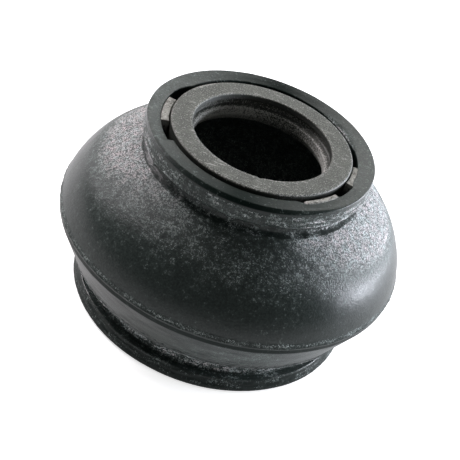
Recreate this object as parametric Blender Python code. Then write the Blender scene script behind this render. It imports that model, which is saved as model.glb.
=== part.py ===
"""Rubber dust cover of a tie rod end: the sealing boot that closes the ball socket and grips the stud.

The cover stands on its large end, with the stud's axis along +Z and the origin at the centre of the
bottom face. One rubber moulding is built as rings that meet edge to edge, so that each flexing band
of the wall can follow its own joint. The steel reinforcing ring and the seal ring are pieces of
their own in the collar. Units are metres.
"""

import math

import bmesh
import bpy
from mathutils import Matrix

MM = 0.001

# Driving dimensions
BELLY_RADIUS = 21.0 * MM
SEAM_HEIGHT = 11.13 * MM
TOTAL_HEIGHT = 24.2 * MM
MOUTH_RADIUS = 14.7 * MM
BEAD_RADIUS = 17.62 * MM
LIP_RADIUS = 7.9 * MM
WALL_THICKNESS = 2.0 * MM
JOINT_GAP = 0.05 * MM
SEGMENTS = 60
SHARP_ANGLE = math.radians(30.0)

# Large end: bead, groove for the retaining ring, and the shoulder above it
BEAD_TOP = 1.76 * MM
BEAD_TOP_RADIUS = 17.05 * MM
BEAD_EDGE = 0.42 * MM
GROOVE_RADIUS = 16.1 * MM
GROOVE_TOP = 4.75 * MM
SHOULDER_RADIUS = 18.73 * MM
SHOULDER_HEIGHT = 5.86 * MM
MOUTH_DEPTH = 3.6 * MM

# Belly and dome
BELLY_CORNER_HEIGHT = 10.44 * MM
BELLY_CORNER_RADIUS = 20.94 * MM
DOME_RADIUS = 11.3 * MM
DOME_START_ANGLE = math.radians(79.0)
CONE_ANGLE = math.radians(31.0)
LOWER_BAND_TOP = 10.71 * MM
UPPER_BAND_TOP = 19.11 * MM
CROWN_TOP = 20.5 * MM

# Collar
WAIST_RADIUS = 12.4 * MM
WAIST_HEIGHT = 21.0 * MM
NECK_TOP = 21.55 * MM
DUST_LIP_RADIUS = 13.6 * MM
DUST_LIP_TOP_RADIUS = 13.45 * MM
DUST_LIP_TOP = 24.15 * MM
DUST_LIP_INNER_RADIUS = 11.4 * MM
DUST_LIP_EDGE = 0.4 * MM
WINDOW_RADIUS = 12.0 * MM
WINDOW_HALF_ANGLE = math.radians(33.0)
TAB_HALF_ANGLE = math.radians(12.5)
INSERT_RADIUS = 12.5 * MM
INSERT_INNER_RADIUS = 10.9 * MM
INSERT_THICKNESS = 0.5 * MM
INSERT_LEG_THICKNESS = 0.45 * MM
INSERT_LEG_TOP = 22.9 * MM
TAB_THICKNESS = 1.0 * MM
TAB_TOP = 23.85 * MM
SEAL_OUTER_RADIUS = 10.82 * MM
SEAL_BOTTOM = 20.6 * MM
LIP_FLARE = 0.5 * MM
LIP_BOTTOM = 21.5 * MM
LIP_TOP = 22.5 * MM
RECESS_RADIUS = 8.6 * MM
RECESS_TOP = 23.4 * MM
SEAL_FACE_RADIUS = 8.3 * MM
SEAL_FACE_CHAMFER = 0.1 * MM

# The arc of the dome starts at the seam and ends where the top cone begins
ARC_CENTRE_RADIUS = BELLY_RADIUS - DOME_RADIUS * math.sin(DOME_START_ANGLE)
ARC_CENTRE_HEIGHT = SEAM_HEIGHT - DOME_RADIUS * math.cos(DOME_START_ANGLE)


def make_material(name, colour, roughness, metallic=0.0):
    """A plain Principled material."""
    material = bpy.data.materials.new(name)
    material.use_nodes = True
    shader = material.node_tree.nodes["Principled BSDF"]
    shader.inputs["Base Color"].default_value = (*colour, 1.0)
    shader.inputs["Roughness"].default_value = roughness
    shader.inputs["Metallic"].default_value = metallic
    return material


def interpolate(low, high, share):
    """The value a share of the way from low to high."""
    return low + (high - low) * share


def dome_radius(height, inset):
    """Radius of the dome at a height, on the surface that lies inset inside the outer one."""
    radius = DOME_RADIUS - inset
    tangent_height = ARC_CENTRE_HEIGHT + radius * math.cos(CONE_ANGLE)
    if height <= tangent_height:
        rise = (height - ARC_CENTRE_HEIGHT) / radius
        return ARC_CENTRE_RADIUS + radius * math.sin(math.acos(rise))
    tangent_radius = ARC_CENTRE_RADIUS + radius * math.sin(CONE_ANGLE)
    return tangent_radius - (height - tangent_height) / math.tan(CONE_ANGLE)


def outer_radius(height):
    """Outer radius of the rubber wall, from the shoulder up to the waist."""
    if height >= SEAM_HEIGHT:
        return dome_radius(height, 0.0)
    if height >= BELLY_CORNER_HEIGHT:
        share = (height - BELLY_CORNER_HEIGHT) / (SEAM_HEIGHT - BELLY_CORNER_HEIGHT)
        return interpolate(BELLY_CORNER_RADIUS, BELLY_RADIUS, share)
    share = (height - SHOULDER_HEIGHT) / (BELLY_CORNER_HEIGHT - SHOULDER_HEIGHT)
    return interpolate(SHOULDER_RADIUS, BELLY_CORNER_RADIUS, share)


def inner_radius(height):
    """Inner radius of the rubber wall at the same heights."""
    inner_seam = SEAM_HEIGHT - WALL_THICKNESS * math.cos(DOME_START_ANGLE)
    if height >= inner_seam:
        return dome_radius(height, WALL_THICKNESS)
    lean = math.atan2(BELLY_CORNER_RADIUS - SHOULDER_RADIUS, BELLY_CORNER_HEIGHT - SHOULDER_HEIGHT)
    shoulder = SHOULDER_RADIUS - WALL_THICKNESS / math.cos(lean)
    share = (height - SHOULDER_HEIGHT) / (inner_seam - SHOULDER_HEIGHT)
    return interpolate(shoulder, dome_radius(inner_seam, WALL_THICKNESS), share)


def wall_outline(bottom, top, steps):
    """Closed outline of one band of the wall, cut square between two heights."""
    corners = [height for height in (BELLY_CORNER_HEIGHT, SEAM_HEIGHT) if bottom < height < top]
    even = [interpolate(bottom, top, index / steps) for index in range(steps + 1)]
    heights = sorted(corners + even)
    outside = [(outer_radius(height), height) for height in heights]
    inside = [(inner_radius(height), height) for height in reversed(heights)]
    return outside + inside


def outline_face(mesh, outline):
    """One flat face in the XZ plane from (radius, height) points."""
    return mesh.faces.new([mesh.verts.new((radius, 0.0, height)) for radius, height in outline])


def finish_object(name, mesh, material):
    """Turns bmesh data into a smooth-shaded object with outward faces."""
    bmesh.ops.recalc_face_normals(mesh, faces=mesh.faces)
    data = bpy.data.meshes.new(name)
    mesh.to_mesh(data)
    mesh.free()
    data.shade_smooth()
    data.set_sharp_from_angle(angle=SHARP_ANGLE)
    data.materials.append(material)
    item = bpy.data.objects.new(name, data)
    bpy.context.collection.objects.link(item)
    return item


def turned_ring(name, outline, material):
    """A full ring: a closed outline spun once around the Z axis."""
    mesh = bmesh.new()
    face = outline_face(mesh, outline)
    edges = list(face.edges)
    bmesh.ops.delete(mesh, geom=[face], context="FACES_ONLY")
    bmesh.ops.spin(
        mesh,
        geom=edges,
        cent=(0.0, 0.0, 0.0),
        axis=(0.0, 0.0, 1.0),
        angle=math.tau,
        steps=SEGMENTS,
        use_merge=True,
    )
    return finish_object(name, mesh, material)


def ring_sector(name, inner, outer, bottom, top, start, end, material):
    """Part of a ring with a rectangular section, from one angle to another about the Z axis."""
    steps = max(2, round((end - start) / math.tau * SEGMENTS))
    mesh = bmesh.new()
    face = outline_face(mesh, [(inner, bottom), (outer, bottom), (outer, top), (inner, top)])
    bmesh.ops.rotate(mesh, verts=mesh.verts, matrix=Matrix.Rotation(start, 3, "Z"))
    bmesh.ops.spin(
        mesh,
        geom=[face],
        cent=(0.0, 0.0, 0.0),
        axis=(0.0, 0.0, 1.0),
        angle=end - start,
        steps=steps,
    )
    return finish_object(name, mesh, material)


def apply_tool(target, tool, operation):
    """Adds a Boolean modifier and keeps its tool as a hidden guide."""
    modifier = target.modifiers.new(tool.name, "BOOLEAN")
    modifier.operation = operation
    modifier.object = tool
    tool.hide_render = True
    tool.display_type = "WIRE"


def build_large_end(rubber):
    """The thick ring that the retaining ring clamps to the ball socket's housing."""
    outline = [
        (MOUTH_RADIUS, 0.0),
        (BEAD_RADIUS - BEAD_EDGE, 0.0),
        (BEAD_RADIUS, BEAD_EDGE),
        (BEAD_TOP_RADIUS, BEAD_TOP),
        (GROOVE_RADIUS, BEAD_TOP),
        (GROOVE_RADIUS, GROOVE_TOP),
        (SHOULDER_RADIUS, SHOULDER_HEIGHT - JOINT_GAP),
        (inner_radius(SHOULDER_HEIGHT), SHOULDER_HEIGHT - JOINT_GAP),
        (MOUTH_RADIUS, MOUTH_DEPTH),
    ]
    turned_ring("large_end_bead", outline, rubber)


def build_wall(rubber):
    """The three bands of the wall that flex when the stud swings or the collar is pressed down."""
    bands = (
        ("lower_wall", SHOULDER_HEIGHT, LOWER_BAND_TOP - JOINT_GAP, 3),
        ("upper_wall", LOWER_BAND_TOP, UPPER_BAND_TOP - JOINT_GAP, 7),
        ("crown_wall", UPPER_BAND_TOP, CROWN_TOP - JOINT_GAP, 2),
    )
    for name, low, high, steps in bands:
        turned_ring(name, wall_outline(low, high, steps), rubber)


def build_collar_neck(rubber):
    """The waist between the dome and the dust lip."""
    inner = SEAL_OUTER_RADIUS + 2.0 * JOINT_GAP
    outline = [
        (inner, CROWN_TOP),
        (outer_radius(CROWN_TOP), CROWN_TOP),
        (WAIST_RADIUS, WAIST_HEIGHT),
        (INSERT_RADIUS + JOINT_GAP, NECK_TOP),
        (inner, NECK_TOP),
    ]
    turned_ring("collar_neck", outline, rubber)


def build_dust_lip(rubber):
    """The outer rim, with a wide notch in its bore around each tab of the steel ring."""
    rest = NECK_TOP + JOINT_GAP
    over_insert = rest + INSERT_THICKNESS + JOINT_GAP
    outline = [
        (DUST_LIP_INNER_RADIUS, over_insert),
        (INSERT_RADIUS + 2.0 * JOINT_GAP, over_insert),
        (INSERT_RADIUS + 2.0 * JOINT_GAP, rest),
        (DUST_LIP_RADIUS - DUST_LIP_EDGE, rest),
        (DUST_LIP_RADIUS, rest + DUST_LIP_EDGE),
        (DUST_LIP_TOP_RADIUS, DUST_LIP_TOP - DUST_LIP_EDGE / 2.0),
        (DUST_LIP_TOP_RADIUS - DUST_LIP_EDGE, DUST_LIP_TOP),
        (DUST_LIP_INNER_RADIUS, DUST_LIP_TOP),
    ]
    lip = turned_ring("dust_lip", outline, rubber)
    for side in range(2):
        centre = side * math.pi
        cutter = ring_sector(
            f"lip_notch_{side + 1}",
            INSERT_INNER_RADIUS,
            WINDOW_RADIUS,
            rest,
            TOTAL_HEIGHT + MM,
            centre - WINDOW_HALF_ANGLE,
            centre + WINDOW_HALF_ANGLE,
            rubber,
        )
        apply_tool(lip, cutter, "DIFFERENCE")


def build_steel_insert(steel):
    """An L-section ring with two tabs that stand up in the dust lip's notches."""
    bottom = NECK_TOP + JOINT_GAP
    top = bottom + INSERT_THICKNESS
    leg_radius = INSERT_INNER_RADIUS + INSERT_LEG_THICKNESS
    outline = [
        (INSERT_INNER_RADIUS, bottom),
        (INSERT_RADIUS, bottom),
        (INSERT_RADIUS, top),
        (leg_radius, top),
        (leg_radius, INSERT_LEG_TOP),
        (INSERT_INNER_RADIUS, INSERT_LEG_TOP),
    ]
    insert = turned_ring("steel_insert", outline, steel)
    for side in range(2):
        centre = side * math.pi
        window = ring_sector(
            f"insert_window_{side + 1}",
            INSERT_INNER_RADIUS - MM,
            leg_radius + MM,
            top + JOINT_GAP,
            TOTAL_HEIGHT,
            centre - WINDOW_HALF_ANGLE,
            centre + WINDOW_HALF_ANGLE,
            steel,
        )
        apply_tool(insert, window, "DIFFERENCE")
        tab = ring_sector(
            f"insert_tab_{side + 1}",
            INSERT_INNER_RADIUS + JOINT_GAP,
            INSERT_INNER_RADIUS + TAB_THICKNESS,
            bottom + INSERT_THICKNESS / 2.0,
            TAB_TOP,
            centre - TAB_HALF_ANGLE,
            centre + TAB_HALF_ANGLE,
            steel,
        )
        apply_tool(insert, tab, "UNION")


def build_seal_ring(seal_rubber):
    """The ring around the stud, with its sealing lip and the flat face that meets the steering arm."""
    outline = [
        (LIP_RADIUS + LIP_FLARE, SEAL_BOTTOM),
        (SEAL_OUTER_RADIUS, SEAL_BOTTOM),
        (SEAL_OUTER_RADIUS, TOTAL_HEIGHT),
        (SEAL_FACE_RADIUS, TOTAL_HEIGHT),
        (SEAL_FACE_RADIUS - SEAL_FACE_CHAMFER, RECESS_TOP),
        (RECESS_RADIUS, RECESS_TOP),
        (RECESS_RADIUS, LIP_TOP),
        (LIP_RADIUS, LIP_TOP),
        (LIP_RADIUS, LIP_BOTTOM),
    ]
    turned_ring("seal_ring", outline, seal_rubber)


def main():
    for item in list(bpy.data.objects):
        bpy.data.objects.remove(item)
    rubber = make_material("cover_rubber", (0.030, 0.036, 0.034), 0.55)
    seal_rubber = make_material("seal_rubber", (0.11, 0.11, 0.10), 0.45)
    steel = make_material("insert_steel", (0.42, 0.42, 0.40), 0.5, metallic=0.6)
    build_large_end(rubber)
    build_wall(rubber)
    build_collar_neck(rubber)
    build_dust_lip(rubber)
    build_steel_insert(steel)
    build_seal_ring(seal_rubber)


main()
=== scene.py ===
"""Looks of the tie rod end dust boot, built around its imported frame.

Every round piece is turned from an outline of (radius, height) points. Lengths in the outlines are
drawing millimetres: MM is one of them in metres, taken from the belly's radius in the frame. Azimuths are
in degrees: 0 is +X and -90 is the camera's side.
"""

import math

import bpy
import numpy as np
from mathutils import Matrix, Vector, noise


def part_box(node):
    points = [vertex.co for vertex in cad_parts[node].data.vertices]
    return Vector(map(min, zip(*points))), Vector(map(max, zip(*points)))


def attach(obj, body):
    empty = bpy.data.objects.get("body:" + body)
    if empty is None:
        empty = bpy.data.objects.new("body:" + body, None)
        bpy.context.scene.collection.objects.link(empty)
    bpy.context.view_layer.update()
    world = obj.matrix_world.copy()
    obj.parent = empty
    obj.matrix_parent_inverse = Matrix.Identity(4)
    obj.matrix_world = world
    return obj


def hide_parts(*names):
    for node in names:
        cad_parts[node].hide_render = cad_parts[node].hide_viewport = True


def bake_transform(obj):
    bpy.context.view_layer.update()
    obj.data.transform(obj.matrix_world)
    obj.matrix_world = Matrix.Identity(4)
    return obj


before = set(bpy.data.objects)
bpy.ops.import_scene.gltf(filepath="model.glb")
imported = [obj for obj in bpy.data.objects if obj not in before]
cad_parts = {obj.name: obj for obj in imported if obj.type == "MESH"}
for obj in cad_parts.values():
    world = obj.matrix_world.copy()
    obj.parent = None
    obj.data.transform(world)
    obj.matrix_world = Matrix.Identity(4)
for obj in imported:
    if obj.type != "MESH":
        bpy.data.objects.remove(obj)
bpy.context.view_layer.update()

# Driving sizes, from the frame
DRAWN_BELLY_RADIUS = 21.0
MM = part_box("upper_wall")[1].x / DRAWN_BELLY_RADIUS
SHOULDER_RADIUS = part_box("large_end_bead")[1].x / MM
SHOULDER_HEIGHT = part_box("lower_wall")[0].z / MM
LOWER_BAND_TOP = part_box("upper_wall")[0].z / MM
UPPER_BAND_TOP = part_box("crown_wall")[0].z / MM
CROWN_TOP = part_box("collar_neck")[0].z / MM
NECK_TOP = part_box("collar_neck")[1].z / MM
DUST_LIP_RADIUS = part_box("dust_lip")[1].x / MM
DUST_LIP_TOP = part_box("dust_lip")[1].z / MM
SEAL_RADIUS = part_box("seal_ring")[1].x / MM
SEAL_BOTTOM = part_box("seal_ring")[0].z / MM
SEAL_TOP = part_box("seal_ring")[1].z / MM
INSERT_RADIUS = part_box("steel_insert")[1].x / MM
INSERT_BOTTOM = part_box("steel_insert")[0].z / MM
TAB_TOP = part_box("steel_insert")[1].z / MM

# Sizes of the wall that the frame's boxes don't give. The lean factor says how much thicker the leaning
# wall below the belly is when it is measured level.
WALL_THICKNESS = 2.0
LEAN_FACTOR = 1.11
BELLY_CORNER = (20.94, 10.44)
SEAM_HEIGHT = 11.13
DOME_RADIUS = 11.3
DOME_START_ANGLE = math.radians(79.0)
CONE_ANGLE = math.radians(31.0)
DOME_CENTRE = (
    DRAWN_BELLY_RADIUS - DOME_RADIUS * math.sin(DOME_START_ANGLE),
    SEAM_HEIGHT - DOME_RADIUS * math.cos(DOME_START_ANGLE),
)

# The bands of the wall that bend: each starts and ends where its neighbours are rigid
LOWER_BEND_START = SHOULDER_HEIGHT + 0.55
CROWN_BEND_START = UPPER_BAND_TOP - 1.5
CROWN_BEND_END = CROWN_TOP - 0.35

# Large end: its mouth, the bead and the groove above the bead
MOUTH_RADIUS = 14.7
MOUTH_DEPTH = 3.6
BEAD_RADIUS = 17.62
BEAD_TOP_RADIUS = 17.05
BEAD_TOP = 1.76
GROOVE_RADIUS = 16.1
GROOVE_TOP = 4.6

# Collar: the seal's sealing lip and recess, the waist, and the dust lip with its sloping top and notches
SEAL_LIP_RADIUS = 7.9
SEAL_LIP_BOTTOM = 21.5
SEAL_LIP_TOP = 22.5
SEAL_FACE_RADIUS = 8.3
RECESS_RADIUS = 8.6
RECESS_BOTTOM = 22.75
RECESS_TOP = 23.35
WAIST_RADIUS = 12.4
WAIST_HEIGHT = 21.2
FLANK_FOOT_RADIUS = 13.1
DUST_LIP_INNER_RADIUS = 11.2
DUST_LIP_TOP_RADIUS = 13.55
DUST_LIP_FALL = 0.22
WINDOW_RADIUS = 11.9

# Steel ring: its flat, its upright leg and the windows cut in the leg, the left one not quite opposite
INSERT_THICKNESS = 0.5
LEG_INNER_RADIUS = 10.92
LEG_THICKNESS = 0.43
LEG_TOP = 22.9
WINDOW_HALF_ANGLE = 33.0
LEFT_WINDOW = -177.0

# Azimuths where the notches of the dust lip start and run out, where the tabs start and end, and
# where a strip of bare steel shows beside the right notch
LEFT_NOTCH = (-144.0, -212.0)
RIGHT_NOTCH = (-32.0, 36.0)
LEFT_TAB = (-189.0, -162.5)
RIGHT_TAB = (-16.5, 4.0)
BARE_STEEL = (-57.0, -31.0)

# Colours of the cover's bare skin, of its haze and of the powder on it
RUBBER_SKIN = (0.006, 0.012, 0.010)
RUBBER_HAZE = (0.062, 0.080, 0.074)
RUBBER_POWDER = (0.94, 0.93, 0.92)

# Colours of the seal ring's bare skin, of the film on it and of its scratches and flecks
SEAL_SKIN = (0.010, 0.012, 0.010)
SEAL_FILM = (0.118, 0.128, 0.108)
SEAL_MARKS = (0.50, 0.50, 0.47)

# Colours of the steel where it is stained, clean and dusty, and its painted shade deep in the groove's
# windows
STEEL_STAINED = (0.09, 0.085, 0.072)
STEEL_CLEAN = (0.38, 0.38, 0.345)
STEEL_DUSTY = (0.95, 0.95, 0.93)
STEEL_SHADE = (0.012, 0.012, 0.011)

# Camera: how far it looks down, its roll, its lens, and its distance in belly radii
CAMERA_ELEVATION = math.radians(36.84)
CAMERA_ROLL = math.radians(19.56)
CAMERA_LENS = 80.98
CAMERA_SHIFT = (-0.0058, -0.0177)
CAMERA_DISTANCE = 6.0

# How finely a turned piece is cut
SEGMENTS = 540
FINE_STEP = 0.07
SURFACE_STEP = 0.17
COLLAR_STEP = 0.13
HIDDEN_STEP = 0.6


# ---------------------------------------------------------------- outlines


def rounded(corners):
    """Open outline through (radius, height, fillet) corners, each fillet drawn as an arc."""
    places = [np.array(corner[:2], float) for corner in corners]
    points = [places[0]]
    for index in range(1, len(corners) - 1):
        corner, fillet = places[index], corners[index][2]
        back = places[index - 1] - corner
        ahead = places[index + 1] - corner
        back /= np.linalg.norm(back)
        ahead /= np.linalg.norm(ahead)
        half = math.acos(np.clip(back @ ahead, -1.0, 1.0)) / 2.0
        if fillet <= 0.0 or half > math.radians(89.0):
            points.append(corner)
            continue
        middle = (back + ahead) / np.linalg.norm(back + ahead)
        centre = corner + middle * fillet / math.sin(half)
        start = corner + back * fillet / math.tan(half) - centre
        end = corner + ahead * fillet / math.tan(half) - centre
        first = math.atan2(start[1], start[0])
        turn = math.remainder(math.atan2(end[1], end[0]) - first, math.tau)
        count = max(3, math.ceil(abs(turn) * fillet / FINE_STEP))
        for step in range(count + 1):
            angle = first + turn * step / count
            points.append(centre + fillet * np.array((math.cos(angle), math.sin(angle))))
    points.append(places[-1])
    return points


def dense(points, step):
    """The same outline with no stretch longer than step."""
    filled = []
    for start, end in zip(points[:-1], points[1:]):
        count = max(1, math.ceil(np.linalg.norm(np.array(end) - np.array(start)) / step))
        filled += [np.array(start) + (np.array(end) - np.array(start)) * k / count for k in range(count)]
    return filled + [np.array(points[-1], float)]


def closed_loop(outline):
    """Cuts an outline that runs past its own start back to one clean loop."""
    start = outline[0]
    gaps = [np.linalg.norm(point - start) for point in outline[len(outline) // 2 :]]
    end = len(outline) // 2 + int(np.argmin(gaps))
    return outline[:end]


def dome_radius(height, inset):
    """Radius of the dome at a height, on the surface that lies inset inside the outer one."""
    radius = DOME_RADIUS - inset
    tangent_height = DOME_CENTRE[1] + radius * math.cos(CONE_ANGLE)
    if height <= tangent_height:
        return DOME_CENTRE[0] + radius * math.sin(math.acos((height - DOME_CENTRE[1]) / radius))
    tangent_radius = DOME_CENTRE[0] + radius * math.sin(CONE_ANGLE)
    return tangent_radius - (height - tangent_height) / math.tan(CONE_ANGLE)


def outer_wall(height):
    """Outer radius of the wall from the shoulder to the crown."""
    if height >= SEAM_HEIGHT:
        return dome_radius(height, 0.0)
    corner_radius, corner_height = BELLY_CORNER
    if height >= corner_height:
        share = (height - corner_height) / (SEAM_HEIGHT - corner_height)
        return corner_radius + (DRAWN_BELLY_RADIUS - corner_radius) * share
    share = (height - SHOULDER_HEIGHT) / (corner_height - SHOULDER_HEIGHT)
    return SHOULDER_RADIUS + (corner_radius - SHOULDER_RADIUS) * share


def inner_wall(height):
    """Inner radius of the wall over the same heights."""
    seam = SEAM_HEIGHT - WALL_THICKNESS * math.cos(DOME_START_ANGLE)
    if height >= seam:
        return dome_radius(height, WALL_THICKNESS)
    foot = SHOULDER_RADIUS - WALL_THICKNESS * LEAN_FACTOR
    share = (height - SHOULDER_HEIGHT) / (seam - SHOULDER_HEIGHT)
    return foot + (dome_radius(seam, WALL_THICKNESS) - foot) * share


def wall_band(bottom, top):
    """Closed outline of a band of the wall: up the outside, then down the inside."""
    heights = {bottom, top}
    heights |= {height for height in (BELLY_CORNER[1], SEAM_HEIGHT) if bottom < height < top}
    height = bottom
    while height < top:
        heights.add(height)
        slope = abs(outer_wall(height + 0.01) - outer_wall(height)) / 0.01
        near_seam = abs(height - SEAM_HEIGHT - 0.1) < 0.5
        height += (FINE_STEP if near_seam else SURFACE_STEP) / math.hypot(1.0, slope)
    outside = [np.array((outer_wall(height), height)) for height in sorted(heights)]
    inside_heights = np.linspace(top, bottom, max(3, math.ceil((top - bottom) / HIDDEN_STEP) + 1))
    inside = [np.array((inner_wall(height), height)) for height in inside_heights]
    return outside + inside


# ---------------------------------------------------------------- turned meshes


def smooth(value, low, high):
    """0 below low, 1 above high and a smooth rise between them."""
    share = np.clip((value - low) / (high - low), 0.0, 1.0)
    return share * share * (3.0 - 2.0 * share)


def bump(value, centre, width):
    """A soft hill of height 1."""
    return np.exp(-(((value - centre) / width) ** 2))


def turn_gap(angle, centre):
    """Signed difference between azimuths in degrees, from -180 to 180."""
    return (angle - centre + 180.0) % 360.0 - 180.0


def grain(places, scale, seed):
    """Smooth noise from -1 to 1 at places in drawing millimetres, with cells of size scale."""
    offset = Vector((seed * 17.3, seed * 5.1, seed * 9.7))
    flat = places.reshape(-1, 3) / scale
    values = [noise.noise(Vector(place) + offset) for place in flat]
    return np.array(values).reshape(places.shape[:-1])


def ring_places(angle, radius, height):
    """Points in drawing millimetres from azimuths in degrees, radii and heights."""
    turn = np.radians(angle)
    return np.stack([radius * np.cos(turn), radius * np.sin(turn), height], axis=-1)


def waviness(places):
    """How far the moulded skin stands off its drawn radius."""
    return 0.03 * grain(places, 4.0, 1) + 0.012 * grain(places, 0.9, 2)


def crown_crust(places, height):
    """The crumbs caked in the corner between dome and waist."""
    return bump(height, CROWN_TOP, 0.7) * 0.12 * np.maximum(grain(places, 0.45, 15), 0.0)


def streaks(azimuth, radius, height, across, seed):
    """Noise from -1 to 1 in cells about 2 mm long around the part and of size across over its outline."""
    turn = np.radians(azimuth)
    places = np.stack([8.0 * np.cos(turn), 8.0 * np.sin(turn), (height + 0.7 * radius) / across], axis=-1)
    return grain(places, 1.0, seed)


def turned(name, outline, shape=None):
    """A closed ring turned from a closed outline; shape(angle, radius, height) may change each ring."""
    outline = np.array(outline)
    area = np.sum(outline[:, 0] * np.roll(outline[:, 1], -1) - np.roll(outline[:, 0], -1) * outline[:, 1])
    if area < 0.0:
        outline = outline[::-1]
    count = len(outline)
    angle = np.arange(SEGMENTS)[:, None] * 360.0 / SEGMENTS
    angle = np.repeat(angle, count, axis=1)
    radius = np.repeat(outline[None, :, 0], SEGMENTS, axis=0)
    height = np.repeat(outline[None, :, 1], SEGMENTS, axis=0)
    if shape:
        radius, height = shape(angle, radius, height)
    places = ring_places(angle, radius, height).reshape(-1, 3)
    ring = np.arange(SEGMENTS)[:, None] * count
    point = np.arange(count)[None, :]
    next_ring = np.roll(ring, -1, axis=0)
    next_point = (point + 1) % count
    corners = [ring + point, next_ring + point, next_ring + next_point, ring + next_point]
    faces = np.stack(corners, axis=-1).reshape(-1, 4)
    mesh = bpy.data.meshes.new(name)
    mesh.from_pydata((places * MM).tolist(), [], faces.tolist())
    mesh.shade_smooth()
    mesh.set_sharp_from_angle(angle=math.radians(50.0))
    rest = mesh.attributes.new("rest_place", "FLOAT_VECTOR", "POINT")
    rest.data.foreach_set("vector", places.astype(np.float32).ravel())
    item = bpy.data.objects.new(name, mesh)
    bpy.context.scene.collection.objects.link(item)
    return item


def cylinder_coordinates(item):
    """Azimuth in degrees, radius and height of every vertex, in drawing millimetres."""
    places = np.zeros(len(item.data.vertices) * 3, np.float32)
    item.data.attributes["rest_place"].data.foreach_get("vector", places)
    places = places.reshape(-1, 3).astype(float)
    azimuth = np.degrees(np.arctan2(places[:, 1], places[:, 0]))
    return azimuth, np.hypot(places[:, 0], places[:, 1]), places[:, 2]


def paint(item, name, values):
    """Stores one number for each vertex, which the materials read by name."""
    values = np.broadcast_to(np.clip(values, 0.0, 1.0), len(item.data.vertices))
    layer = item.data.attributes.new(name, "FLOAT", "POINT")
    layer.data.foreach_set("value", values.astype(np.float32))


# ---------------------------------------------------------------- materials


class Tree:
    """Short calls for building one material's nodes."""

    def __init__(self, name):
        self.material = bpy.data.materials.new(name)
        self.material.use_nodes = True
        self.tree = self.material.node_tree
        self.shader = self.tree.nodes["Principled BSDF"]
        self.place = self.attribute("rest_place", "Vector")

    def link(self, source, target):
        """Joins an output to an input, or sets the input to a plain value."""
        if isinstance(source, bpy.types.NodeSocket):
            self.tree.links.new(source, target)
        else:
            target.default_value = source

    def attribute(self, name, output):
        node = self.tree.nodes.new("ShaderNodeAttribute")
        node.attribute_name = name
        return node.outputs[output]

    def noise(self, scale, detail=2.0, roughness=0.5):
        """Noise with cells of about 1 / scale drawing millimetres."""
        node = self.tree.nodes.new("ShaderNodeTexNoise")
        node.inputs["Scale"].default_value = scale
        node.inputs["Detail"].default_value = detail
        node.inputs["Roughness"].default_value = roughness
        self.link(self.place, node.inputs["Vector"])
        return node.outputs["Fac"]

    def math(self, operation, first, second=0.0, third=0.0):
        node = self.tree.nodes.new("ShaderNodeMath")
        node.operation = operation
        for value, target in zip((first, second, third), node.inputs):
            self.link(value, target)
        return node.outputs[0]

    def rise(self, value, low, high, start=0.0, end=1.0):
        """A smooth step from start to end as value goes from low to high."""
        node = self.tree.nodes.new("ShaderNodeMapRange")
        node.interpolation_type = "SMOOTHSTEP"
        for entry, target in zip((value, low, high, start, end), node.inputs):
            self.link(entry, target)
        return node.outputs[0]

    def mix(self, share, first, second):
        """A colour a share of the way from first to second."""
        node = self.tree.nodes.new("ShaderNodeMix")
        node.data_type = "RGBA"
        self.link(share, node.inputs["Factor"])
        for colour, side in ((first, "A"), (second, "B")):
            target = [entry for entry in node.inputs if entry.name == side and entry.type == "RGBA"][0]
            self.link((*colour, 1.0) if isinstance(colour, tuple) else colour, target)
        return [entry for entry in node.outputs if entry.type == "RGBA"][0]

    def lines(self, turn, threshold):
        """Fine straight scratches that run across the part at an angle of turn degrees."""
        mapping = self.tree.nodes.new("ShaderNodeMapping")
        mapping.inputs["Rotation"].default_value = (0.0, 0.0, math.radians(turn))
        mapping.inputs["Scale"].default_value = (0.55, 6.0, 1.0)
        self.link(self.place, mapping.inputs["Vector"])
        node = self.tree.nodes.new("ShaderNodeTexNoise")
        node.inputs["Scale"].default_value = 1.0
        node.inputs["Detail"].default_value = 1.0
        self.link(mapping.outputs["Vector"], node.inputs["Vector"])
        return self.rise(node.outputs["Fac"], threshold, threshold + 0.05)

    def finish(self, colour, roughness, height, depth, metallic=0.0):
        """Connects the shader. depth is the bump's height in drawing millimetres."""
        self.link(colour, self.shader.inputs["Base Color"])
        self.link(roughness, self.shader.inputs["Roughness"])
        self.link(metallic, self.shader.inputs["Metallic"])
        node = self.tree.nodes.new("ShaderNodeBump")
        node.inputs["Distance"].default_value = depth * MM
        self.link(height, node.inputs["Height"])
        self.link(node.outputs["Normal"], self.shader.inputs["Normal"])
        return self.material


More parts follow.
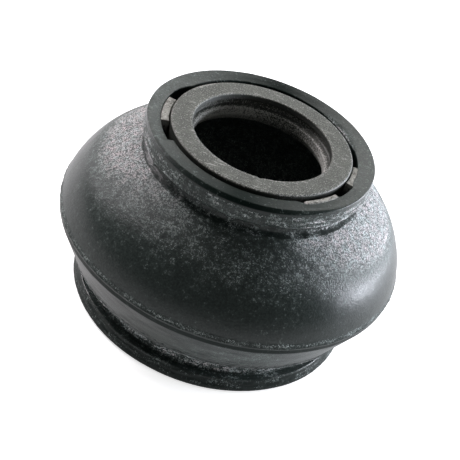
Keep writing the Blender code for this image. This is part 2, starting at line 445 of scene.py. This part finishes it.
def powdered_rubber(name, dark, pale, powder, roughness):
    """Moulded rubber under a thin haze (the film layer) and a crust of specks (the bloom layer).

    The skin shines less where there is no haze, as in the grooves, and where the rubbed layer is high.
    """
    tree = Tree(name)
    bloom = tree.attribute("bloom", "Fac")
    film = tree.attribute("film", "Fac")
    fine = tree.noise(4.5, detail=3.0, roughness=0.7)
    flecks = tree.noise(8.0, detail=1.0)
    clusters = tree.noise(1.7, detail=3.0, roughness=0.6)
    clumps = tree.noise(0.5, detail=3.0, roughness=0.6)
    tint = tree.noise(1.3, detail=2.0)
    spread = tree.math("MULTIPLY_ADD", tree.math("SUBTRACT", clusters, 0.5), 1.8, bloom)
    spread = tree.math("MULTIPLY_ADD", tree.math("SUBTRACT", clumps, 0.5), 1.2, spread)
    haze = tree.math("MULTIPLY_ADD", tree.rise(fine, 0.35, 0.65), 1.0, 0.2)
    haze = tree.math("MULTIPLY_ADD", tree.rise(spread, 0.0, 0.9), 1.3, haze)
    haze = tree.math("MULTIPLY", haze, film)
    base = tree.mix(haze, dark, pale)
    warm = tuple(channel * factor for channel, factor in zip(powder, (1.05, 0.97, 1.0)))
    cool = tuple(channel * factor for channel, factor in zip(powder, (0.92, 1.0, 1.02)))
    dull = tuple(channel * factor for channel, factor in zip(powder, (0.44, 0.52, 0.50)))
    crust = tree.mix(tree.rise(tint, 0.35, 0.65), warm, cool)
    crust = tree.mix(tree.rise(bloom, 0.45, 1.1), dull, crust)
    threshold = tree.math("MAXIMUM", tree.math("MULTIPLY_ADD", spread, -0.28, 0.66), 0.44)
    dust = tree.rise(fine, threshold, tree.math("ADD", threshold, 0.2))
    dust = tree.math("MULTIPLY", dust, tree.rise(bloom, 0.0, 0.1))
    colour = tree.mix(tree.math("MULTIPLY", dust, tree.rise(bloom, 0.5, 1.2, 0.44, 0.8)), base, crust)
    threshold = tree.math("MULTIPLY_ADD", spread, -0.20, 0.74)
    specks = tree.rise(flecks, threshold, tree.math("ADD", threshold, 0.1))
    specks = tree.math("MULTIPLY", specks, tree.rise(bloom, 0.08, 0.4))
    colour = tree.mix(tree.math("MULTIPLY", specks, 0.9), colour, crust)
    rough = tree.math("MULTIPLY_ADD", dust, 0.35, roughness)
    rough = tree.math("MULTIPLY_ADD", tree.rise(bloom, 0.2, 0.8), 0.15, rough)
    hazy = tree.rise(film, 0.0, 0.06, 0.6, 1.0)
    shine = tree.math("MULTIPLY", tree.rise(bloom, 0.2, 0.9, 0.42, 0.26), hazy)
    kept = tree.math("MULTIPLY_ADD", tree.attribute("rubbed", "Fac"), -0.85, 1.0)
    shine = tree.math("MULTIPLY", shine, kept)
    tree.link(shine, tree.shader.inputs["Specular IOR Level"])
    relief = tree.math("MULTIPLY", fine, tree.rise(bloom, 0.15, 0.6, 0.3, 1.0))
    height = tree.math("MULTIPLY_ADD", specks, 0.5, relief)
    return tree.finish(colour, rough, height, 0.08)


def worn_seal(name):
    """Smooth olive-grey rubber, rubbed pale by a thin film, with fine scratches and white flecks."""
    tree = Tree(name)
    bloom = tree.attribute("bloom", "Fac")
    film = tree.attribute("film", "Fac")
    fine = tree.noise(6.0, detail=3.0, roughness=0.7)
    patches = tree.noise(0.6, detail=3.0, roughness=0.6)
    haze = tree.math("MULTIPLY_ADD", tree.rise(fine, 0.35, 0.65), 0.45, 0.46)
    haze = tree.math("MULTIPLY_ADD", tree.rise(patches, 0.38, 0.62), 0.35, haze)
    colour = tree.mix(tree.math("MULTIPLY", haze, film), SEAL_SKIN, SEAL_FILM)
    scratches = tree.math("MAXIMUM", tree.lines(38.0, 0.66), tree.lines(-24.0, 0.68))
    scratches = tree.math("MULTIPLY", scratches, tree.rise(patches, 0.45, 0.58))
    threshold = tree.math("MULTIPLY_ADD", bloom, -0.24, 0.65)
    flecks = tree.rise(fine, threshold, tree.math("ADD", threshold, 0.08))
    marks = tree.math("MAXIMUM", tree.math("MULTIPLY", scratches, film), flecks)
    colour = tree.mix(tree.math("MULTIPLY", marks, 0.85), colour, SEAL_MARKS)
    rough = tree.math("MULTIPLY_ADD", patches, 0.25, 0.38)
    height = tree.math("MULTIPLY_ADD", marks, 0.5, fine)
    return tree.finish(colour, rough, height, 0.03)


def pressed_steel(name):
    """Dull pressed steel with dust and small stains, painted near-black as shade where the bloom layer is 0.
    """
    tree = Tree(name)
    bloom = tree.attribute("bloom", "Fac")
    stains = tree.noise(2.2, detail=4.0, roughness=0.7)
    dust = tree.noise(5.0, detail=3.0, roughness=0.7)
    colour = tree.mix(tree.rise(stains, 0.34, 0.56), STEEL_STAINED, STEEL_CLEAN)
    colour = tree.mix(tree.rise(dust, 0.56, 0.68, end=0.8), colour, STEEL_DUSTY)
    # Where the bloom layer is 0 the steel is painted near-black: painted shade in the deep windows
    colour = tree.mix(bloom, STEEL_SHADE, colour)
    rough = tree.rise(stains, 0.2, 0.8, 0.55, 0.35)
    return tree.finish(colour, rough, dust, 0.04, metallic=0.1)


# ---------------------------------------------------------------- the cover


def dress(item, material, bloom, film=0.0, rubbed=0.0):
    """Gives a piece its material and the layers that the material reads: specks, haze and lost shine."""
    item.data.materials.append(material)
    paint(item, "bloom", bloom)
    paint(item, "film", film)
    paint(item, "rubbed", rubbed)


def dome_layers(item):
    """Bloom, film and rubbed layers of the wall.

    Above the seam the specks thicken towards the waist and on both flanks, and lie along the seam. Below it
    the skin is streaked. The inside is hazy and dusty all over.
    """
    azimuth, radius, height = cylinder_coordinates(item)
    outside = radius > np.array([inner_wall(min(max(h, SHOULDER_HEIGHT), CROWN_TOP)) + 0.6 for h in height])
    left = bump(turn_gap(azimuth, -178.0), 0.0, 38.0)
    right = bump(turn_gap(azimuth, -4.0), 0.0, 32.0)
    upper = smooth(height, 14.2, 19.8)
    # gaps thins the specks on the front, most of all under the waist at the front: painted shade
    gaps = 0.30 * bump(turn_gap(azimuth, -75.0), 0.0, 12.0) * bump(height, 19.8, 1.1)
    gaps += 0.24 * bump(turn_gap(azimuth, -95.0), 0.0, 45.0)
    seam = 0.6 * bump(height, SEAM_HEIGHT + 0.42, 0.28)
    bloom = upper * (0.72 + 0.55 * left + 0.95 * right - gaps) + seam + 0.06
    film = 0.22 + 0.16 * smooth(height, 13.0, 17.0) + 0.15 * bump(turn_gap(azimuth, -150.0), 0.0, 30.0)
    film += (0.28 * left + 0.10 * right) * smooth(height, 15.0, 18.5)
    under_seam = smooth(height, SEAM_HEIGHT + 0.05, SEAM_HEIGHT - 0.1)
    neck = smooth(height, BELLY_CORNER[1] + 0.12, BELLY_CORNER[1] - 0.1)
    patch = bump(turn_gap(azimuth, -68.0), 0.0, 14.0)
    streak = streaks(azimuth, radius, height, 0.9, 16)
    haze = 0.07 + 0.15 * smooth(height, 9.8, 8.0) + 0.22 * streak
    speckled = 0.10 + 0.32 * patch + 0.15 * np.maximum(streak, 0.0)
    bloom = bloom * (1.0 - under_seam) + under_seam * (0.05 * (1.0 - neck) + speckled * neck)
    film = film * (1.0 - under_seam) + under_seam * (np.maximum(haze, 0.06) + 0.25 * patch) * neck
    crown = bump(height, CROWN_TOP, 0.8) * streaks(azimuth, radius, height, 0.3, 17)
    rubbed = 0.3 * right + 0.4 * bump(height, SEAM_HEIGHT + 0.2, 0.3) * (0.5 - 1.5 * streak)
    rubbed = rubbed * (1.0 - under_seam) + under_seam * (0.6 - 0.25 * neck - 0.6 * streak * neck)
    return np.where(outside, bloom + 0.4 * crown, 0.6), np.where(outside, film, 1.0), rubbed


def wall_shape(angle, radius, height):
    """Slight waviness of the moulding and the rough flash along the seam."""
    places = ring_places(angle, radius, height)
    outside = (radius > 15.5) | (height > 17.0)
    wave = waviness(places)
    flash = bump(height, SEAM_HEIGHT + 0.12, 0.11) * (0.07 + 0.07 * grain(places, 0.5, 3))
    crumbs = bump(height, SEAM_HEIGHT + 0.4, 0.25) * 0.05 * np.maximum(grain(places, 0.28, 4), 0.0)
    return radius + (wave + flash + crumbs + crown_crust(places, height)) * outside, height


def build_wall(rubber):
    """The three bands of the wall, each turned, baked in place and put instead of the frame's band."""
    bands = (
        ("cover_lower_wall", "lower_wall", "large_end", "belly", LOWER_BEND_START, LOWER_BAND_TOP),
        ("cover_upper_wall", "upper_wall", "belly", "shoulder", LOWER_BAND_TOP, CROWN_BEND_START),
        ("cover_crown", "crown_wall", "shoulder", "collar", CROWN_BEND_START, CROWN_BEND_END),
    )
    for name, node, below, above, bottom, top in bands:
        band = turned(name, wall_band(bottom, top), wall_shape)
        dress(band, rubber, *dome_layers(band))
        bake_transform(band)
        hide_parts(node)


def large_end_shape(angle, radius, height):
    """Crumbly groove wall under the shoulder, ridges on the bead and small nicks in its edge."""
    places = ring_places(angle, radius, height)
    outside = smooth(radius, 15.4, 15.9)
    fade = 1.0 - smooth(height, LOWER_BEND_START - 0.4, LOWER_BEND_START)
    wave = waviness(places)
    crumbs = smooth(height, 1.8, 2.2) * (0.12 * grain(places, 0.32, 5) + 0.05 * grain(places, 0.14, 14))
    nicks = bump(height, 0.9, 0.8) * 0.04 * grain(places, 0.45, 6)
    bead = smooth(height, 2.6, 2.2) * smooth(height, 0.5, 0.9)
    ridges = bead * 0.05 * streaks(angle, radius, height, 0.22, 18)
    return radius + (wave + (crumbs + nicks + ridges) * fade) * outside, height


def build_large_end(rubber):
    """Bead, groove and shoulder of the large end."""
    split = LOWER_BEND_START
    corners = [
        (inner_wall(split), split, 0.0),
        (inner_wall(SHOULDER_HEIGHT - 0.2), SHOULDER_HEIGHT - 0.2, 0.3),
        (MOUTH_RADIUS, MOUTH_DEPTH, 0.5),
        (MOUTH_RADIUS, 0.0, 0.25),
        (BEAD_RADIUS - 0.38, 0.0, 0.1),
        (BEAD_RADIUS, 0.42, 0.3),
        (BEAD_TOP_RADIUS, BEAD_TOP, 0.2),
        (GROOVE_RADIUS, BEAD_TOP - 0.04, 0.15),
        (GROOVE_RADIUS, GROOVE_TOP, 0.3),
        (SHOULDER_RADIUS - 0.15, 5.3, 0.2),
        (SHOULDER_RADIUS, SHOULDER_HEIGHT, 0.1),
        (outer_wall(split), split, 0.0),
    ]
    end = turned("cover_large_end", dense(rounded(corners), SURFACE_STEP), large_end_shape)
    azimuth, radius, height = cylinder_coordinates(end)
    outside = smooth(radius, 15.5, 15.8)
    wall = outside * smooth(height, 1.75, 2.0) * smooth(height, SHOULDER_HEIGHT - 0.2, SHOULDER_HEIGHT - 0.5)
    bead_top = outside * smooth(height, 1.45, 1.6) * smooth(height, 1.95, 1.8)
    bead_side = outside * smooth(height, 1.6, 1.45)
    neck = smooth(height, SHOULDER_HEIGHT - 0.25, SHOULDER_HEIGHT)
    streak = streaks(azimuth, radius, height, 0.22, 19)
    bloom = wall * (0.78 + 0.6 * streak) + bead_top * (0.36 + 0.5 * streak)
    # The bead's side loses its specks towards its bottom edge: painted contact shade at the floor
    bloom = bloom + bead_side * (0.30 + 0.6 * streak) * smooth(height, 0.2, 0.8) + 0.12 * neck
    film = neck * (0.26 + 0.18 * streak) + 0.2 * wall + 0.12 * bead_top + bead_side * 0.1 * streak
    bloom = bloom + 0.6 * (1.0 - outside)
    film = film + 1.0 - outside
    dress(end, rubber, bloom, film, neck * (0.3 - 1.2 * streak))
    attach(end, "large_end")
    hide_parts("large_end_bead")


def between(angle, limits, soft=1.0):
    """1 between two azimuths, with soft degrees of rise at each."""
    gap = turn_gap(angle, 0.5 * (limits[0] + limits[1]))
    half = 0.5 * abs(limits[1] - limits[0])
    return smooth(half - abs(gap), -0.5 * soft, 0.5 * soft)


def in_window(angle):
    """1 in the two windows where the steel ring's leg is cut away."""
    right = (-WINDOW_HALF_ANGLE, WINDOW_HALF_ANGLE)
    left = (LEFT_WINDOW - WINDOW_HALF_ANGLE, LEFT_WINDOW + WINDOW_HALF_ANGLE)
    return np.maximum(between(angle, right), between(angle, left))


def on_tab(angle):
    """1 on the steel tabs in the middle of the windows."""
    return np.maximum(between(angle, LEFT_TAB), between(angle, RIGHT_TAB))


def notch_depth(angle):
    """How deep the dust lip is notched, from 0 to 1: cut square in front of the tabs, running out behind.

    The lip also stands a little away from the seal on the far side.
    """
    behind_left = smooth(turn_gap(angle, LEFT_NOTCH[1]), -4.0, 16.0)
    behind_right = smooth(turn_gap(angle, RIGHT_NOTCH[1]), 0.0, -20.0)
    in_front = smooth(turn_gap(angle, RIGHT_TAB[0]), 4.0, -1.0)
    left = between(angle, LEFT_NOTCH) * behind_left
    right = between(angle, RIGHT_NOTCH) * (0.45 * behind_right + 0.55 * in_front)
    far = 0.75 * bump(turn_gap(angle, 92.0), 0.0, 50.0)
    return np.maximum(np.maximum(left, right), far)


def collar_shape(angle, radius, height):
    """The notches in the lip's bore, the worn front edge of its top, and the uneven skin."""
    places = ring_places(angle, radius, height)
    bore = np.clip((DUST_LIP_INNER_RADIUS + 1.5 - radius) / 1.5, 0.0, 1.0) * smooth(height, 22.0, 22.15)
    ragged = 0.03 * grain(places, 0.5, 7)
    notch = np.maximum(notch_depth(angle), bare_leg(angle)) * (WINDOW_RADIUS - DUST_LIP_INNER_RADIUS)
    flank = smooth(radius, 12.0, 12.3) * smooth(height, CROWN_BEND_END, CROWN_BEND_END + 0.3)
    wave = waviness(places)
    pits = 0.05 * grain(places, 0.4, 8) + 0.03 * grain(places, 0.2, 20)
    rough = flank * smooth(height, 23.7, 23.3) * pits
    outside = smooth(radius, inner_wall(CROWN_BEND_END) + 0.5, inner_wall(CROWN_BEND_END) + 0.9)
    rough = rough + outside * crown_crust(places, height)
    face = smooth(height, DUST_LIP_TOP - 0.5, DUST_LIP_TOP - 0.3)
    dish = face * (0.012 * grain(places, 1.5, 9) - 0.015)
    worn = smooth(height, 23.0, 23.9) * bump(turn_gap(angle, -93.0), 0.0, 42.0)
    dish = dish - 0.35 * worn * smooth(radius, DUST_LIP_TOP_RADIUS - 0.45, DUST_LIP_TOP_RADIUS - 0.05)
    return radius + bore * (notch + ragged) + wave * (1.0 - bore) + rough, height + dish


def build_collar(rubber):
    """Waist and dust lip, one piece of rubber above the crown."""
    split = CROWN_BEND_END
    rest = NECK_TOP + 0.05
    corners = [
        (SEAL_RADIUS + 0.12, split + 0.55, 0.0),
        (inner_wall(split), split, 0.0),
        (outer_wall(split), split, 0.0),
        (WAIST_RADIUS + 0.15, CROWN_TOP - 0.08, 0.35),
        (WAIST_RADIUS, WAIST_HEIGHT, 0.3),
        (FLANK_FOOT_RADIUS, rest - 0.05, 0.25),
        (DUST_LIP_RADIUS, rest + 0.45, 0.2),
        (DUST_LIP_TOP_RADIUS, DUST_LIP_TOP, 0.12),
        (DUST_LIP_INNER_RADIUS, DUST_LIP_TOP - DUST_LIP_FALL, 0.1),
        (DUST_LIP_INNER_RADIUS, rest + 0.6, 0.0),
        (INSERT_RADIUS + 0.12, rest + 0.6, 0.0),
        (INSERT_RADIUS + 0.12, NECK_TOP - 0.02, 0.0),
        (SEAL_RADIUS + 0.12, NECK_TOP - 0.02, 0.0),
        (SEAL_RADIUS + 0.12, split + 0.55, 0.0),
    ]
    collar = turned("cover_collar", dense(rounded(corners), COLLAR_STEP)[:-1], collar_shape)
    azimuth, radius, height = cylinder_coordinates(collar)
    waist = smooth(height, 22.0, 21.6) * smooth(radius, 12.0, 12.3)
    flank = smooth(radius, 13.1, 13.3) * smooth(height, 23.75, 23.4)
    face = smooth(height, DUST_LIP_TOP - 0.5, DUST_LIP_TOP - 0.35)
    # sides paints the lip's top face lighter at the left and right, where the side lamps fall, and dulls its
    # shine near and far: painted light and shade
    sides = abs(np.cos(np.radians(azimuth))) ** 1.5
    # front thins the specks on the lip's flank on the camera's side: painted shade under the overhang
    front = bump(turn_gap(azimuth, -95.0), 0.0, 45.0)
    crumbs = bump(radius, DUST_LIP_INNER_RADIUS, 0.6) * bump(turn_gap(azimuth, 42.0), 0.0, 18.0)
    streak = streaks(azimuth, radius, height, 0.3, 17)
    bloom = waist * (1.0 - flank) * (0.42 + 0.55 * streak) + flank * (0.85 - 0.35 * front + 0.55 * streak)
    bloom = bloom + face * (0.12 + 0.14 * sides + 0.9 * crumbs + 0.1 * streak)
    film = 0.10 * waist + 0.25 * flank + face * 0.58 * sides
    dress(collar, rubber, bloom, film, face * (1.0 - sides))
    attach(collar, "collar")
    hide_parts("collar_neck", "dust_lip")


def seal_shape(angle, radius, height):
    """Worn edges and two small nicks in the rim of the stud hole."""
    places = ring_places(angle, radius, height)
    face = smooth(height, SEAL_TOP - 0.1, SEAL_TOP)
    edge = bump(radius, SEAL_FACE_RADIUS, 0.25) * smooth(height, SEAL_TOP - 0.5, SEAL_TOP)
    nicks = bump(turn_gap(angle, -82.0), 0.0, 1.6) + 0.7 * bump(turn_gap(angle, 48.0), 0.0, 2.0)
    wave = 0.012 * grain(places, 2.0, 10) + 0.006 * grain(places, 0.5, 11)
    return radius + wave, height - face * (0.01 + 0.01 * grain(places, 1.2, 12)) - edge * nicks * 0.12


def build_seal(seal_rubber):
    """The seal ring, with its recess and the lip that grips the stud."""
    corners = [
        (SEAL_LIP_RADIUS + 0.55, SEAL_BOTTOM, 0.15),
        (SEAL_RADIUS, SEAL_BOTTOM, 0.2),
        (SEAL_RADIUS, SEAL_TOP, 0.22),
        (SEAL_FACE_RADIUS, SEAL_TOP, 0.1),
        (SEAL_FACE_RADIUS - 0.12, RECESS_TOP + 0.15, 0.1),
        (RECESS_RADIUS, RECESS_TOP, 0.2),
        (RECESS_RADIUS, RECESS_BOTTOM, 0.2),
        (SEAL_LIP_RADIUS, SEAL_LIP_TOP, 0.2),
        (SEAL_LIP_RADIUS, SEAL_LIP_BOTTOM, 0.25),
        (SEAL_LIP_RADIUS + 0.55, SEAL_BOTTOM, 0.15),
        (SEAL_RADIUS, SEAL_BOTTOM, 0.2),
    ]
    outline = closed_loop(dense(rounded(corners), COLLAR_STEP)[1:])
    seal = turned("seal_ring_face", outline, seal_shape)
    azimuth, radius, height = cylinder_coordinates(seal)
    lip = smooth(height, SEAL_LIP_TOP + 0.2, SEAL_LIP_TOP) * smooth(radius, 8.7, 8.4)
    recess = bump(height, 23.05, 0.35) * smooth(radius, 9.0, 8.7)
    face = smooth(height, SEAL_TOP - 0.2, SEAL_TOP - 0.05)
    caked = bump(turn_gap(azimuth, 135.0), 0.0, 30.0) + 0.6 * bump(turn_gap(azimuth, 5.0), 0.0, 30.0)
    edges = face * (bump(radius, 8.45, 0.15) + bump(radius, SEAL_RADIUS - 0.15, 0.15))
    spill = face * bump(radius, SEAL_RADIUS - 0.2, 0.3) * bump(turn_gap(azimuth, 145.0), 0.0, 9.0)
    bloom = lip * (0.62 + 0.9 * caked) + 0.33 * face + 0.5 * recess + 0.3 * edges + 0.7 * spill
    film = 0.82 * face + lip * (0.45 + 0.4 * caked) + 0.4 * recess + 0.15
    dress(seal, seal_rubber, bloom, film)
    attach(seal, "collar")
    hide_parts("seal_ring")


def bare_leg(angle):
    """1 where the rubber has come away and the steel shows between a notch and the groove."""
    start, end = BARE_STEEL
    return smooth(turn_gap(angle, end), 0.0, -1.5) * smooth(turn_gap(angle, start), -4.0, 4.0)


def insert_shape(angle, radius, height):
    """Cuts the leg away at the windows and raises the tabs between them."""
    floor = INSERT_BOTTOM + INSERT_THICKNESS + 0.05
    leg = smooth(height, floor, floor + 0.1)
    lift = (TAB_TOP - floor) / (LEG_TOP - floor)
    rise = np.maximum(1.0 - in_window(angle), np.maximum(on_tab(angle), 1.06 * bare_leg(angle)) * lift)
    outer = smooth(radius, 11.0, 11.3)
    places = ring_places(angle, radius, height)
    height = height + leg * ((floor + 0.02 - height) + (height - floor) * rise)
    shift = outer * 0.55 * on_tab(angle) + (0.4 + 0.17 * outer) * bare_leg(angle)
    return radius + leg * shift + 0.008 * grain(places, 0.8, 13), height


def build_insert(steel):
    """The bonded steel ring: its tabs and the top of its leg show in the groove."""
    inner = LEG_INNER_RADIUS
    leg = inner + LEG_THICKNESS
    low = INSERT_BOTTOM
    corners = [
        (inner, low, 0.0),
        (INSERT_RADIUS, low, 0.0),
        (INSERT_RADIUS, low + INSERT_THICKNESS, 0.0),
        (leg, low + INSERT_THICKNESS, 0.0),
        (leg, LEG_TOP, 0.08),
        (inner, LEG_TOP, 0.08),
        (inner, low, 0.0),
    ]
    insert = turned("steel_ring", dense(rounded(corners), COLLAR_STEP)[:-1], insert_shape)
    azimuth, _, height = cylinder_coordinates(insert)
    # Only the bare tabs and leg keep the steel's colour, darkening towards their foot: painted shade
    bare = np.maximum(on_tab(azimuth), bare_leg(azimuth))
    dress(insert, steel, bare * smooth(height, INSERT_BOTTOM + 0.6, TAB_TOP - 0.4))
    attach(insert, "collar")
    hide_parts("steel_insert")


# ---------------------------------------------------------------- the stage


def build_floor():
    """A plain pale floor, bright enough to run into the background but dark inside the cover's mouth."""
    half = 60.0 * DRAWN_BELLY_RADIUS * MM
    mesh = bpy.data.meshes.new("floor")
    corners = [(-half, -half, 0), (half, -half, 0), (half, half, 0), (-half, half, 0)]
    mesh.from_pydata(corners, [], [(0, 1, 2, 3)])
    floor = bpy.data.objects.new("floor", mesh)
    bpy.context.scene.collection.objects.link(floor)
    material = bpy.data.materials.new("pale_floor")
    material.use_nodes = True
    nodes = material.node_tree.nodes
    shader = nodes["Principled BSDF"]
    shader.inputs["Base Color"].default_value = (0.86, 0.86, 0.86, 1.0)
    shader.inputs["Roughness"].default_value = 0.9
    shader.inputs["Emission Color"].default_value = (1.0, 1.0, 1.0, 1.0)
    place = nodes.new("ShaderNodeTexCoord")
    distance = nodes.new("ShaderNodeVectorMath")
    distance.operation = "LENGTH"
    open_floor = nodes.new("ShaderNodeMapRange")
    open_floor.inputs["From Min"].default_value = MOUTH_RADIUS * MM
    open_floor.inputs["From Max"].default_value = BEAD_RADIUS * MM
    glow = nodes.new("ShaderNodeMath")
    glow.operation = "MULTIPLY"
    links = material.node_tree.links
    links.new(place.outputs["Object"], distance.inputs[0])
    links.new(distance.outputs["Value"], open_floor.inputs["Value"])
    links.new(open_floor.outputs["Result"], glow.inputs[0])
    links.new(seen_by_camera(nodes, 0.34, 0.78), glow.inputs[1])
    links.new(glow.outputs[0], shader.inputs["Emission Strength"])
    mesh.materials.append(material)


def seen_by_camera(nodes, others, camera):
    """A strength that is one value for the camera's own rays and another for light on the object."""
    path = nodes.new("ShaderNodeLightPath")
    strength = nodes.new("ShaderNodeMapRange")
    strength.inputs["To Min"].default_value = others
    strength.inputs["To Max"].default_value = camera
    nodes.id_data.links.new(path.outputs["Is Camera Ray"], strength.inputs["Value"])
    return strength.outputs["Result"]


def add_light(name, azimuth, elevation, distance, size, power, colour):
    """A rectangular soft light aimed at the middle of the object. Lengths are in drawing millimetres."""
    middle = Vector((0.0, 0.0, SEAM_HEIGHT * MM))
    turn, lift = math.radians(azimuth), math.radians(elevation)
    away = Vector((math.cos(turn) * math.cos(lift), math.sin(turn) * math.cos(lift), math.sin(lift)))
    data = bpy.data.lights.new(name, "AREA")
    data.shape = "RECTANGLE"
    data.size, data.size_y = size[0] * MM, size[1] * MM
    data.energy = power
    data.color = colour
    lamp = bpy.data.objects.new(name, data)
    lamp.location = middle + away * distance * MM
    lamp.rotation_euler = away.to_track_quat("Z", "Y").to_euler()
    bpy.context.scene.collection.objects.link(lamp)


def build_lights():
    """Soft light from both sides and behind. The room is dark, but the camera sees it white."""
    add_light("right_window", 25.0, 10.0, 260.0, (195.0, 26.0), 1.35, (0.88, 0.915, 1.0))
    add_light("left_fill", 152.0, 32.0, 300.0, (150.0, 110.0), 0.80, (1.0, 0.93, 0.965))
    add_light("back_top", 90.0, 37.0, 320.0, (240.0, 90.0), 0.27, (1.0, 1.0, 0.98))
    world = bpy.data.worlds.new("room")
    world.use_nodes = True
    nodes = world.node_tree.nodes
    background = nodes["Background"]
    background.inputs["Color"].default_value = (1.0, 1.0, 1.0, 1.0)
    world.node_tree.links.new(seen_by_camera(nodes, 0.13, 1.0), background.inputs["Strength"])
    bpy.context.scene.world = world


def build_camera():
    """A camera above the front, rolled so that the object's axis leans to the upper right."""
    distance = CAMERA_DISTANCE * DRAWN_BELLY_RADIUS * MM
    target = Vector((0.0, 0.0, SEAM_HEIGHT * MM))
    back = Vector((0.0, -math.cos(CAMERA_ELEVATION), math.sin(CAMERA_ELEVATION)))
    right = Vector((1.0, 0.0, 0.0))
    up = back.cross(right)
    rolled_right = right * math.cos(CAMERA_ROLL) + up * math.sin(CAMERA_ROLL)
    rolled_up = up * math.cos(CAMERA_ROLL) - right * math.sin(CAMERA_ROLL)
    turn = Matrix((rolled_right, rolled_up, back)).transposed().to_4x4()
    data = bpy.data.cameras.new("camera")
    data.lens = CAMERA_LENS
    data.shift_x, data.shift_y = CAMERA_SHIFT
    data.clip_start = 1.0 * MM
    data.clip_end = 5.0
    camera = bpy.data.objects.new("camera", data)
    camera.matrix_world = Matrix.Translation(target + back * distance) @ turn
    bpy.context.scene.collection.objects.link(camera)
    bpy.context.scene.camera = camera


rubber = powdered_rubber("cover_rubber", RUBBER_SKIN, RUBBER_HAZE, RUBBER_POWDER, roughness=0.31)
seal_rubber = worn_seal("seal_rubber")
steel = pressed_steel("insert_steel")
build_large_end(rubber)
build_wall(rubber)
build_collar(rubber)
build_seal(seal_rubber)
build_insert(steel)
build_floor()
build_lights()
build_camera()
bpy.context.scene.view_settings.view_transform = "Standard"
